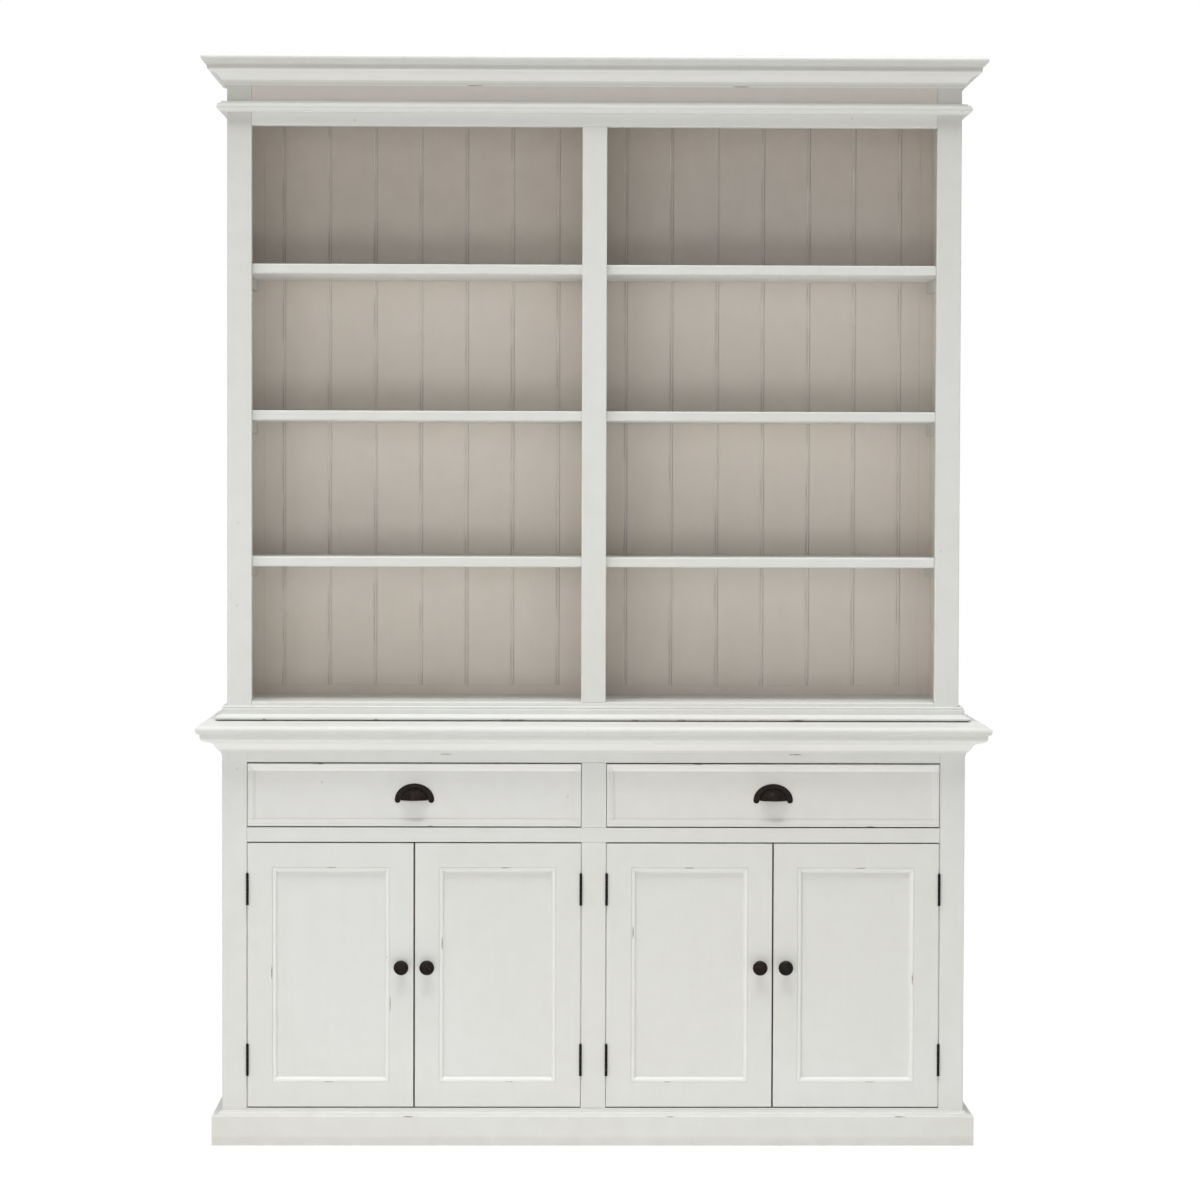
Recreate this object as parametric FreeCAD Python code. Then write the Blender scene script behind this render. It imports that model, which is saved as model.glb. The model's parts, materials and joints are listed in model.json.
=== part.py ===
import FreeCAD, Part
import math
import os

# Hutch bookcase: an open bookcase that stands on a sideboard with two drawers and four doors.
# Millimetres. +Z is up, the front faces -Y and X = 0 is the plane of symmetry.
# The origin lies on the floor under the middle of the part's overall box.

# Overall sizes
carcass_width = 1500.0
base_depth = 450.0
base_height = 850.0
hutch_depth = 325.0
hutch_height = 1356.0

# Boards of the base
base_side_thickness = 22.0
base_board_thickness = 20.0
base_partition_thickness = 20.0
base_back_thickness = 10.0
cupboard_shelf_thickness = 18.0
cupboard_shelf_height = 277.0
cupboard_shelf_setback = 15.0

# Face frame of the base
base_frame_thickness = 20.0
stile_width = 50.0
bottom_rail_height = 40.0
bottom_rail_show = 4.5
mid_rail_height = 29.3
drawer_opening_height = 131.7
top_rail_height = 58.5
arris_width = 1.0

# Counter and its cove moulding
counter_overhang = 50.0
counter_thickness = 18.0
counter_nose_depth = 12.0
counter_moulding_projection = 42.0
counter_moulding_height = 42.5

# Plinth
plinth_height = 68.5
plinth_projection = 20.0

# Boards of the hutch
hutch_side_thickness = 28.0
hutch_board_thickness = 20.0
hutch_partition_thickness = 20.0
bottom_board_height = 38.0
shelf_thickness = 20.0
shelf_arris_width = 1.6
first_shelf_rise = 297.0
shelves_per_bay = 3
cleat_thickness = 12.0
cleat_height = 24.0
cleat_setback = 12.0

# Back of the hutch: a frame that holds beaded boards
rebate_width = 10.0
back_inset = 10.0
back_frame_thickness = 16.0
back_margin = 26.0
back_mid_stile_width = 40.0
back_bottom_rail_height = 57.0
back_top_rail_height = 40.0
back_board_recess = 2.0
back_board_thickness = 11.0
back_end_board_show = 46.5
back_bead_width = 6.0
back_quirk_width = 1.4
back_quirk_depth = 2.2
beads_per_bay = 7

# Face frame of the hutch
hutch_frame_thickness = 22.0
mullion_width = 50.0
hutch_top_rail_height = 141.0

# Mouldings of the hutch
hutch_base_moulding_rise = 2.0
hutch_base_moulding_height = 28.0
hutch_base_moulding_projection = 23.5
frieze_bead_rise = 26.5
frieze_bead_height = 21.5
frieze_bead_projection = 20.0
crown_height = 60.0
crown_projection = 50.0

# Doors
side_gap = 2.0
end_gap = 2.5
door_thickness = 20.0
door_stile_width = 59.0
door_top_rail_height = 58.5
door_bottom_rail_height = 60.0
sticking_width = 9.0
panel_recess = 8.0
panel_thickness = 8.0
panel_tongue = 6.0

# Butt hinges of the doors
hinge_length = 65.0
hinge_low_inset = 95.5
hinge_high_inset = 93.0
hinge_barrel_radius = 2.75
hinge_axis_stand_off = 3.0
hinge_pin_radius = 1.5
hinge_pin_clearance = 0.05
hinge_knuckle_gap = 0.3
hinge_knuckles = 3
knuckle_sides = 12
leaf_width = 18.0
leaf_thickness = 1.2
leaf_mortise = 0.7

# Door knobs
knob_radius = 15.0
knob_projection = 25.0
knob_drop = 250.4
knob_inset = 25.0
knob_sides = 28

# Magnetic catches behind the doors
catch_width = 42.0
catch_depth = 14.0
catch_drop = 20.0
catch_offset = 50.0
catch_gap = 0.3

# Drawers
drawer_slab_thickness = 15.0
drawer_moulding_width = 15.5
drawer_moulding_depth = 5.0
drawer_box_inset = 4.0
drawer_box_height = 100.0
drawer_rear_gap = 60.0
drawer_board_thickness = 12.0
drawer_bottom_thickness = 6.0
drawer_bottom_rise = 8.0
drawer_groove_depth = 5.0
drawer_running_gap = 0.3
guide_height = 20.0

# Cup pulls of the drawers
pull_half_width = 39.9
pull_height = 33.4
pull_plate_thickness = 1.8
pull_ear_radius = 6.0
pull_oval_sides = 24
pull_ear_sides = 6
pull_hood_half_width = 27.8
pull_hood_radius = 24.5
pull_hood_sides = 12
pull_hood_turn_steps = 6
pull_pole_drop = 1.0
pull_wall = 2.0
pull_rise = 53.0

# Helper length by which a cutting solid runs past what it cuts
overrun = 5.0

# Places that follow from the sizes
half_width = carcass_width / 2
back_y = (base_depth + counter_overhang) / 2
base_front_y = back_y - base_depth
hutch_front_y = back_y - hutch_depth
base_frame_back_y = base_front_y + base_frame_thickness
hutch_frame_back_y = hutch_front_y + hutch_frame_thickness
opening_outer_x = half_width - stile_width
opening_inner_x = stile_width / 2
mullion_x = mullion_width / 2
carcass_top_z = base_height - counter_thickness
door_opening_bottom_z = plinth_height + bottom_rail_show
drawer_opening_top_z = carcass_top_z - top_rail_height
drawer_opening_bottom_z = drawer_opening_top_z - drawer_opening_height
door_opening_top_z = drawer_opening_bottom_z - mid_rail_height
base_inner_x = half_width - base_side_thickness
base_back_front_y = back_y - base_back_thickness
hutch_top_z = base_height + hutch_height
hutch_inner_x = half_width - hutch_side_thickness
bottom_board_top_z = base_height + bottom_board_height
hutch_opening_top_z = hutch_top_z - hutch_top_rail_height
shelf_room = hutch_opening_top_z + shelf_thickness - bottom_board_top_z - first_shelf_rise
shelf_pitch = shelf_room / shelves_per_bay
top_board_bottom_z = hutch_top_z - hutch_board_thickness
back_frame_rear_y = back_y - back_inset
back_frame_front_y = back_frame_rear_y - back_frame_thickness
bay_middle_x = (opening_inner_x + opening_outer_x) / 2
opening_width = opening_outer_x - opening_inner_x
back_board_pitch = (opening_width - 2 * back_end_board_show) / (beads_per_bay - 1)
door_width = (opening_width - 3 * side_gap) / 2
door_bottom_z = door_opening_bottom_z + end_gap
door_top_z = door_opening_top_z - end_gap

# Outlines of the mouldings. Each row is a line to one point or an arc through one point to the next.
# A point is (share of the projection, share of the height), from the inner bottom corner.
crown_shares = [
    [(0.0, 0.0)], [(0.10, 0.0)], [(0.18, 0.10)], [(0.19, 0.137)],
    [(0.37, 0.345), (0.68, 0.448)],
    [(0.746, 0.503)], [(0.76, 0.687)], [(0.906, 0.758)],
    [(1.0, 0.865), (0.824, 1.0)],
    [(0.0, 1.0)],
]
frieze_bead_shares = [
    [(0.0, 0.0)], [(0.14, 0.0)], [(0.14, 0.10)], [(0.50, 0.16)],
    [(1.0, 0.47), (0.575, 0.83)],
    [(0.575, 1.0)], [(0.0, 1.0)],
]
hutch_base_shares = [
    [(0.0, 0.0)], [(0.87, 0.0)],
    [(1.0, 0.125), (0.90, 0.25)],
    [(0.66, 0.33), (0.49, 0.43)],
    [(0.49, 0.79)], [(0.38, 0.84)],
    [(0.42, 0.89)], [(0.42, 0.96)], [(0.38, 1.0)],
    [(0.0, 1.0)],
]
counter_cove_shares = [
    [(0.0, 0.0)], [(0.048, 0.0)], [(0.048, 0.106)], [(0.071, 0.13)],
    [(0.19, 0.225), (0.286, 0.341)],
    [(0.43, 0.54), (0.667, 0.62)],
    [(0.80, 0.65)],
    [(0.945, 0.735), (1.0, 0.88)],
    [(1.0, 1.0)], [(0.0, 1.0)],
]
counter_nose_shares = [
    [(0.0, 0.0)], [(0.30, 0.0)],
    [(1.0, 0.475), (0.30, 0.95)],
    [(0.22, 0.95)], [(0.14, 1.0)], [(0.0, 1.0)],
]
plinth_shares = [
    [(0.0, 0.0)], [(1.0, 0.0)], [(1.0, 0.83)],
    [(0.956, 0.865), (0.84, 0.885)],
    [(0.76, 0.895)],
    [(0.44, 0.905), (0.25, 0.94)],
    [(0.20, 0.965)],
    [(0.16, 0.993), (0.08, 1.0)],
    [(0.0, 1.0)],
]

# Sticking of the door frames: shares of its width and of the door's thickness, from the front face
sticking_shares = [
    [(0.0, 0.0)], [(0.12, 0.0)], [(0.16, 0.05)],
    [(0.66, 0.11), (0.94, 0.34)],
    [(1.0, 0.37)], [(1.0, 1.0)], [(0.0, 1.0)],
]

# Edge moulding of the drawer fronts: shares of its width and height, from the drawer's edge
drawer_moulding_shares = [
    [(0.0, 0.0)], [(0.0, 0.87)], [(0.05, 1.0)],
    [(0.24, 1.0)], [(0.27, 0.86)],
    [(0.62, 0.74), (0.88, 0.32)],
    [(1.0, 0.24)], [(1.0, 0.0)],
]

# Turned outline of a knob: shares of its radius and its projection, from the door's face
knob_shares = [
    (0.55, 0.0), (0.38, 0.13), (0.36, 0.34), (0.60, 0.42), (0.93, 0.54),
    (1.0, 0.66), (0.90, 0.81), (0.56, 0.95), (0.16, 1.0),
]

along_x = FreeCAD.Vector(1, 0, 0)
along_y = FreeCAD.Vector(0, 1, 0)
along_z = FreeCAD.Vector(0, 0, 1)


# Shapes shared by many pieces

def block(x, y, z):
    """A rectangular bar between its low and high limits on each axis."""
    bar = Part.makeBox(x[1] - x[0], y[1] - y[0], z[1] - z[0])
    bar.translate(FreeCAD.Vector(x[0], y[0], z[0]))
    return bar


def eased(bar, front_y, width):
    """The bar with the sharp edges round its front face planed off."""
    edges = [edge for edge in bar.Edges
             if abs(edge.BoundBox.YMin - front_y) < width / 2
             and abs(edge.BoundBox.YMax - front_y) < width / 2]
    return bar.makeChamfer(width, edges)


def framed_bar(x, y, z):
    """A face-frame member with eased front edges."""
    return eased(block(x, y, z), y[0], arris_width)


def outline(shares, place):
    """A closed face from rows of lines and arcs, each point set in space by place."""
    last = place(*shares[0][-1])
    first = last
    edges = []
    for row in shares[1:]:
        points = [place(*point) for point in row]
        if len(points) == 1:
            edges.append(Part.makeLine(last, points[0]))
        else:
            edges.append(Part.Arc(last, points[0], points[1]).toShape())
        last = points[-1]
    if last.distanceToPoint(first) > 0:
        edges.append(Part.makeLine(last, first))
    return Part.Face(Part.Wire(edges))


def flat(points):
    """The flat face between points that go round it."""
    return Part.Face(Part.makePolygon(points + points[:1]))


def ring(middle, radius, across, up, sides):
    """Evenly spaced points on a circle."""
    points = []
    for number in range(sides):
        angle = 2 * math.pi * number / sides
        points.append(middle + across * (radius * math.cos(angle)) + up * (radius * math.sin(angle)))
    return points


def skinned(rings):
    """A solid with flat ends and narrow flats from each ring of points to the next."""
    faces = [flat(rings[0]), flat(rings[-1])]
    for lower, upper in zip(rings, rings[1:]):
        for here in range(len(lower)):
            faces.append(flat([lower[here - 1], lower[here], upper[here], upper[here - 1]]))
    solid = Part.Solid(Part.Shell(faces))
    if solid.Volume < 0:
        solid.reverse()
    return solid


def mitred_run(shares, size, start, along, out, up, length, mitres):
    """One length of moulding. Each end is mitred outward (1), inward (-1) or cut square (0)."""
    lead = max(mitres[0], 0) * size[0]
    tail = max(mitres[1], 0) * size[0]
    foot = start - along * lead

    def place(out_share, up_share):
        return foot + out * (out_share * size[0]) + up * (up_share * size[1])

    bar = outline(shares, place).extrude(along * (length + lead + tail))
    reach = size[0] + overrun
    corners = [start, start + along * length,
               start + along * (length + mitres[1] * reach) + out * reach,
               start - along * (mitres[0] * reach) + out * reach]
    corners = [corner - up * overrun for corner in corners]
    wedge = flat(corners).extrude(up * (size[1] + 2 * overrun))
    return bar.common(wedge).Solids[0]


def wrapped_moulding(shares, projection, height, half_span, front_y, bottom_z):
    """A moulding across the front with a return along each side, mitred at the corners."""
    size = (projection, height)
    depth = back_y - front_y
    left = FreeCAD.Vector(-half_span, front_y, bottom_z)
    right = FreeCAD.Vector(half_span, front_y, bottom_z)
    return [
        mitred_run(shares, size, left, along_x, -along_y, along_z, 2 * half_span, (1, 1)),
        mitred_run(shares, size, left, along_y, -along_x, along_z, depth, (1, 0)),
        mitred_run(shares, size, right, along_y, along_x, along_z, depth, (1, 0)),
    ]


def mitred_border(shares, size, x, z, start_y, up):
    """Four mitred strips inside the border of a rectangle: left, right, bottom and top."""
    low = FreeCAD.Vector(x[0], start_y, z[0])
    right = FreeCAD.Vector(x[1], start_y, z[0])
    high = FreeCAD.Vector(x[0], start_y, z[1])
    width = x[1] - x[0]
    height = z[1] - z[0]
    inward = (-1, -1)
    return [
        mitred_run(shares, size, low, along_z, along_x, up, height, inward),
        mitred_run(shares, size, right, along_z, -along_x, up, height, inward),
        mitred_run(shares, size, low, along_x, along_z, up, width, inward),
        mitred_run(shares, size, high, along_x, -along_z, up, width, inward),
    ]


def both_sides(low_x, high_x):
    """The left and right limits on X of a pair of pieces mirrored about the middle."""
    return [(-high_x, -low_x), (low_x, high_x)]


nodes = {}


def keep(name, pieces):
    """File one solid, or a group of separate solids, under its node's name."""
    if isinstance(pieces, list):
        nodes[name] = Part.makeCompound(pieces)
    else:
        nodes[name] = pieces


# Base carcass: sides, bottom, back, partition, dust boards and cupboard shelves

def build_base_carcass():
    back_x = base_inner_x + rebate_width
    board_y = (base_frame_back_y, base_back_front_y)
    bottom_board_z = (door_opening_bottom_z - base_board_thickness, door_opening_bottom_z)
    back = block((-back_x, back_x), (base_back_front_y, back_y), (bottom_board_z[0], carcass_top_z))
    side_x = both_sides(base_inner_x, half_width)
    for name, x in zip(("base_side_left", "base_side_right"), side_x):
        side = block(x, (base_frame_back_y, back_y), (0, carcass_top_z))
        keep(name, side.cut(back).Solids[0])
    keep("base_back", back)
    keep("base_bottom", block((-base_inner_x, base_inner_x), board_y, bottom_board_z))
    half_partition = base_partition_thickness / 2
    keep("base_partition", block((-half_partition, half_partition), board_y,
                                 (door_opening_bottom_z, carcass_top_z)))
    dust_z = (drawer_opening_bottom_z - base_board_thickness, drawer_opening_bottom_z)
    bays = both_sides(half_partition, base_inner_x)
    keep("dust_boards", [block(x, board_y, dust_z) for x in bays])
    shelf_bottom_z = door_opening_bottom_z + cupboard_shelf_height
    shelf_y = (base_frame_back_y + cupboard_shelf_setback, base_back_front_y)
    keep("cupboard_shelves", [block(x, shelf_y, (shelf_bottom_z, shelf_bottom_z + cupboard_shelf_thickness))
                              for x in bays])


# Hinges: places, leaves with their knuckles, and the mortises that take the leaves

def hinge_sites():
    """The pin's X, the side of the pin on which the door lies, and the door's number."""
    outer = opening_outer_x - side_gap / 2
    inner = opening_inner_x + side_gap / 2
    return [(-outer, 1, 1), (-inner, -1, 2), (inner, 1, 3), (outer, -1, 4)]


def hinge_middles():
    """Heights of the middles of a door's two hinges."""
    return [door_bottom_z + hinge_low_inset, door_top_z - hinge_high_inset]


def leaf_plate(pin_x, side, middle_z):
    """The flat leaf let into the edge on one side of the pin."""
    inner = side_gap / 2 - (leaf_thickness - leaf_mortise)
    limits = sorted((pin_x + side * inner, pin_x + side * (inner + leaf_thickness)))
    y = (base_front_y, base_front_y + leaf_width)
    return block(limits, y, (middle_z - hinge_length / 2, middle_z + hinge_length / 2))


def pin_foot(pin_x, z):
    """The point on a hinge's axis at that height."""
    return FreeCAD.Vector(pin_x, base_front_y - hinge_axis_stand_off, z)


def hinge_leaf(pin_x, side, middle_z, with_pin):
    """One leaf with its share of the knuckles, and the pin where this leaf carries it."""
    bottom_z = middle_z - hinge_length / 2
    foot = pin_foot(pin_x, bottom_z)
    pitch = (hinge_length + hinge_knuckle_gap) / hinge_knuckles
    leaf = leaf_plate(pin_x, side, middle_z)
    tab_x = (leaf.BoundBox.XMin, leaf.BoundBox.XMax)
    for number in range(hinge_knuckles):
        if (number % 2 == 0) != with_pin:
            continue
        low_z = bottom_z + number * pitch
        high_z = low_z + pitch - hinge_knuckle_gap
        tab = block(tab_x, (foot.y, base_front_y), (low_z, high_z))
        rim = ring(pin_foot(pin_x, low_z), hinge_barrel_radius, along_x, along_y, knuckle_sides)
        leaf = leaf.fuse(tab).fuse(flat(rim).extrude(along_z * (high_z - low_z)))
    if with_pin:
        pin = Part.makeCylinder(hinge_pin_radius, hinge_length, foot, along_z)
        return leaf.fuse(pin).removeSplitter().Solids[0]
    bore = Part.makeCylinder(hinge_pin_radius + hinge_pin_clearance, hinge_length, foot, along_z)
    return leaf.cut(bore).removeSplitter().Solids[0]


# Face frame of the base

def build_base_frame():
    y = (base_front_y, base_frame_back_y)
    mortises = [leaf_plate(pin_x, -side, z) for pin_x, side, number in hinge_sites()
                for z in hinge_middles()]
    stile_x = both_sides(opening_outer_x, half_width)
    for name, x in zip(("base_stile_left", "base_stile_right"), stile_x):
        keep(name, framed_bar(x, y, (0, carcass_top_z)).cut(mortises).Solids[0])
    mid_x = (-opening_inner_x, opening_inner_x)
    lower = framed_bar(mid_x, y, (door_opening_bottom_z, door_opening_top_z)).cut(mortises).Solids[0]
    upper = framed_bar(mid_x, y, (drawer_opening_bottom_z, drawer_opening_top_z))
    keep("base_mid_stiles", [lower, upper])
    rail_x = (-opening_outer_x, opening_outer_x)
    keep("base_top_rail", framed_bar(rail_x, y, (drawer_opening_top_z, carcass_top_z)))
    keep("base_mid_rail", framed_bar(rail_x, y, (door_opening_top_z, drawer_opening_bottom_z)))
    bottom_z = (door_opening_bottom_z - bottom_rail_height, door_opening_bottom_z)
    keep("base_bottom_rail", framed_bar(rail_x, y, bottom_z))
    leaves = [hinge_leaf(pin_x, -side, z, True) for pin_x, side, number in hinge_sites()
              for z in hinge_middles()]
    keep("frame_hinge_leaves", leaves)


# Plinth, counter and the cove moulding under it

def build_base_mouldings():
    keep("plinth", wrapped_moulding(plinth_shares, plinth_projection, plinth_height,
                                    half_width, base_front_y, 0))
    keep("counter_moulding", wrapped_moulding(counter_cove_shares, counter_moulding_projection,
                                              counter_moulding_height, half_width, base_front_y,
                                              carcass_top_z - counter_moulding_height))
    slab_x = half_width + counter_overhang - counter_nose_depth
    slab_y = base_front_y - counter_overhang + counter_nose_depth
    slab = block((-slab_x, slab_x), (slab_y, back_y), (carcass_top_z, base_height))
    nosing = wrapped_moulding(counter_nose_shares, counter_nose_depth, counter_thickness,
                              slab_x, slab_y, carcass_top_z)
    keep("counter_top", slab.multiFuse(nosing).removeSplitter().Solids[0])


# Hutch carcass: sides, partition, top, bottom, shelves and the cleats under them

def build_hutch_carcass():
    back_x = hutch_inner_x + rebate_width
    rebate = block((-back_x, back_x), (back_frame_front_y, back_y + overrun),
                   (base_height - overrun, top_board_bottom_z))
    side_x = both_sides(hutch_inner_x, half_width)
    for name, x in zip(("hutch_side_left", "hutch_side_right"), side_x):
        side = block(x, (hutch_frame_back_y, back_y), (base_height, top_board_bottom_z))
        keep(name, side.cut(rebate).Solids[0])
    board_y = (hutch_frame_back_y, back_frame_front_y)
    half_partition = hutch_partition_thickness / 2
    keep("hutch_partition", block((-half_partition, half_partition), board_y,
                                  (bottom_board_top_z, top_board_bottom_z)))
    keep("hutch_top", block((-half_width, half_width), (hutch_frame_back_y, back_y),
                            (top_board_bottom_z, hutch_top_z)))
    keep("hutch_bottom", block((-hutch_inner_x, hutch_inner_x), board_y,
                               (bottom_board_top_z - hutch_board_thickness, bottom_board_top_z)))
    shelves = []
    cleats = []
    cleat_y = (hutch_frame_back_y + cleat_setback, back_frame_front_y)
    for level in range(shelves_per_bay):
        top_z = bottom_board_top_z + first_shelf_rise + level * shelf_pitch
        bottom_z = top_z - shelf_thickness
        cleat_z = (bottom_z - cleat_height, bottom_z)
        for x in both_sides(half_partition, hutch_inner_x):
            shelves.append(eased(block(x, board_y, (bottom_z, top_z)), board_y[0], shelf_arris_width))
            cleats.append(block((x[0], x[0] + cleat_thickness), cleat_y, cleat_z))
            cleats.append(block((x[1] - cleat_thickness, x[1]), cleat_y, cleat_z))
    keep("hutch_shelves", shelves)
    keep("shelf_cleats", cleats)


# Back of the hutch: beaded boards in a frame

def beaded_board(left_x, right_x, z):
    """A back board whose right edge has a bead between two quirks."""
    front_y = back_frame_front_y + back_board_recess
    rear_y = front_y + back_board_thickness
    low_y = front_y + back_quirk_depth
    bead_x = right_x - back_bead_width
    quirk_x = bead_x - back_quirk_width

    def at(x, y):
        return FreeCAD.Vector(x, y, z[0])

    corners = [at(right_x, low_y), at(right_x, rear_y), at(left_x, rear_y), at(left_x, front_y),
               at(quirk_x, front_y), at(quirk_x, low_y), at(bead_x, low_y)]
    edges = [Part.makeLine(start, end) for start, end in zip(corners, corners[1:])]
    crown = at((bead_x + right_x) / 2, front_y)
    edges.append(Part.Arc(corners[-1], crown, corners[0]).toShape())
    return Part.Face(Part.Wire(edges)).extrude(FreeCAD.Vector(0, 0, z[1] - z[0]))


def build_hutch_back():
    y = (back_frame_front_y, back_frame_rear_y)
    outer_x = hutch_inner_x + rebate_width
    margin_x = hutch_inner_x - back_margin
    mid_x = back_mid_stile_width / 2
    full_z = (base_height, top_board_bottom_z)
    board_z = (base_height + back_bottom_rail_height, top_board_bottom_z - back_top_rail_height)
    frame = [block(x, y, full_z) for x in both_sides(margin_x, outer_x)]
    frame.append(block((-mid_x, mid_x), y, full_z))
    boards = []
    for x in both_sides(mid_x, margin_x):
        frame.append(block(x, y, (full_z[0], board_z[0])))
        frame.append(block(x, y, (board_z[1], full_z[1])))
        middle = math.copysign(bay_middle_x, x[0] + x[1])
        first = middle - (beads_per_bay - 1) * back_board_pitch / 2 + back_bead_width / 2
        joints = [first + number * back_board_pitch for number in range(beads_per_bay)]
        for left_x, right_x in zip([x[0]] + joints, joints):
            boards.append(beaded_board(left_x, right_x, board_z))
        board_y = (y[0] + back_board_recess, y[0] + back_board_recess + back_board_thickness)
        boards.append(block((joints[-1], x[1]), board_y, board_z))
    keep("hutch_back_frame", frame)
    keep("hutch_back_boards", boards)


# Face frame and mouldings of the hutch

def build_hutch_frame():
    y = (hutch_front_y, hutch_frame_back_y)
    stile_x = both_sides(opening_outer_x, half_width)
    for name, x in zip(("hutch_stile_left", "hutch_stile_right"), stile_x):
        keep(name, framed_bar(x, y, (base_height, hutch_top_z)))
    rail_x = (-opening_outer_x, opening_outer_x)
    keep("hutch_top_rail", framed_bar(rail_x, y, (hutch_opening_top_z, hutch_top_z)))
    keep("hutch_bottom_rail", framed_bar(rail_x, y, (base_height, bottom_board_top_z)))
    keep("hutch_mullion", framed_bar((-mullion_x, mullion_x), y,
                                     (bottom_board_top_z, hutch_opening_top_z)))


def build_hutch_mouldings():
    keep("hutch_base_moulding", wrapped_moulding(hutch_base_shares, hutch_base_moulding_projection,
                                                 hutch_base_moulding_height, half_width, hutch_front_y,
                                                 base_height + hutch_base_moulding_rise))
    keep("frieze_bead", wrapped_moulding(frieze_bead_shares, frieze_bead_projection, frieze_bead_height,
                                         half_width, hutch_front_y,
                                         hutch_opening_top_z + frieze_bead_rise))
    keep("crown_moulding", wrapped_moulding(crown_shares, crown_projection, crown_height,
                                            half_width, hutch_front_y, hutch_top_z - crown_height))


# Doors: a moulded frame of two stiles and two rails, a panel, a knob and two hinge leaves

def build_knob(middle_x, middle_z):
    """A turned knob with a waisted neck and a low domed face, standing on the door's front."""
    rings = []
    for radius_share, length_share in knob_shares:
        middle = FreeCAD.Vector(middle_x, base_front_y - length_share * knob_projection, middle_z)
        rings.append(ring(middle, radius_share * knob_radius, along_x, along_z, knob_sides))
    return skinned(rings)


def build_door(pin_x, side, number):
    hinge_x = pin_x + side * side_gap / 2
    free_x = hinge_x + side * door_width
    x = sorted((hinge_x, free_x))
    y = (base_front_y, base_front_y + door_thickness)
    z = (door_bottom_z, door_top_z)
    field_x = (x[0] + door_stile_width, x[1] - door_stile_width)
    field_z = (z[0] + door_bottom_rail_height, z[1] - door_top_rail_height)
    panel_y = (y[0] + panel_recess, y[0] + panel_recess + panel_thickness)
    panel = block((field_x[0] - panel_tongue, field_x[1] + panel_tongue), panel_y,
                  (field_z[0] - panel_tongue, field_z[1] + panel_tongue))
    stick_x = (field_x[0] - sticking_width, field_x[1] + sticking_width)
    stick_z = (field_z[0] - sticking_width, field_z[1] + sticking_width)
    flats = [framed_bar((x[0], stick_x[0]), y, z), framed_bar((stick_x[1], x[1]), y, z),
             framed_bar(stick_x, y, (z[0], stick_z[0])), framed_bar(stick_x, y, (stick_z[1], z[1]))]
    strips = mitred_border(sticking_shares, (sticking_width, door_thickness), stick_x, stick_z,
                           y[0], along_y)
    plates = [leaf_plate(pin_x, side, middle_z) for middle_z in hinge_middles()]
    members = [flat.fuse(strip).cut([panel] + plates).removeSplitter().Solids[0]
               for flat, strip in zip(flats, strips)]
    name = "door_%d_" % number
    keep(name + "frame", members)
    keep(name + "panel", panel)
    keep(name + "knob", build_knob(free_x - side * knob_inset, door_top_z - knob_drop))
    keep(name + "hinge_leaves", [hinge_leaf(pin_x, side, middle_z, False)
                                 for middle_z in hinge_middles()])


def build_catches():
    """A magnetic catch under the dust board for each door, beside the meeting line of its pair."""
    y = (base_front_y + door_thickness + catch_gap, base_front_y + door_thickness + catch_gap + catch_depth)
    top_z = drawer_opening_bottom_z - base_board_thickness
    catches = []
    for middle in (-bay_middle_x, bay_middle_x):
        for low_x in (middle - catch_offset - catch_width / 2, middle + catch_offset - catch_width / 2):
            catches.append(block((low_x, low_x + catch_width), y, (top_z - catch_drop, top_z)))
    keep("door_catches", catches)


# Drawers: front, edge moulding, box and cup pull, with guides that steer the box

def pull_plate(centre):
    """The back plate of a cup pull: half an oval that ends in a round ear on each side."""
    points = []
    for number in range(pull_oval_sides + 1):
        angle = math.pi * number / pull_oval_sides
        points.append(centre + along_x * (pull_half_width * math.cos(angle))
                      + along_z * (pull_height * math.sin(angle)))
    for side, numbers in ((-1, range(1, pull_ear_sides + 1)), (1, range(pull_ear_sides))):
        middle = centre + along_x * (side * (pull_half_width - pull_ear_radius))
        for number in numbers:
            angle = math.pi * (1 + number / pull_ear_sides)
            points.append(middle + along_x * (pull_ear_radius * math.cos(angle))
                          + along_z * (pull_ear_radius * math.sin(angle)))
    return flat(points).extrude(-along_y * pull_plate_thickness)


def build_pull(middle_x, face_y):
    """A cup pull: the back plate and a domed hood that is open below."""
    edge_z = drawer_opening_bottom_z + end_gap + pull_rise
    centre = FreeCAD.Vector(middle_x, face_y, edge_z)
    axis = centre - along_y * (pull_plate_thickness / 2) - along_z * pull_pole_drop

    def cup(half_span, radius):
        """A half oval turned a quarter round its long axis, built up from fan-shaped sections."""
        first = math.asin(pull_pole_drop / radius)
        fans = []
        for number in range(pull_hood_sides + 1):
            angle = first + (math.pi - 2 * first) * number / pull_hood_sides
            middle = axis + along_x * (half_span * math.cos(angle))
            reach = radius * math.sin(angle)
            points = [middle]
            for step in range(pull_hood_turn_steps + 1):
                turn = math.pi * step / (2 * pull_hood_turn_steps)
                points.append(middle + along_z * (reach * math.cos(turn))
                              - along_y * (reach * math.sin(turn)))
            fans.append(points)
        return skinned(fans)

    shell = cup(pull_hood_half_width, pull_hood_radius).cut(
        cup(pull_hood_half_width - pull_wall, pull_hood_radius - pull_wall))
    above_edge = block((middle_x - pull_half_width, middle_x + pull_half_width),
                       (axis.y - pull_hood_radius - overrun, axis.y), (edge_z, edge_z + pull_height))
    return pull_plate(centre).fuse(shell.common(above_edge)).Solids[0]


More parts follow.
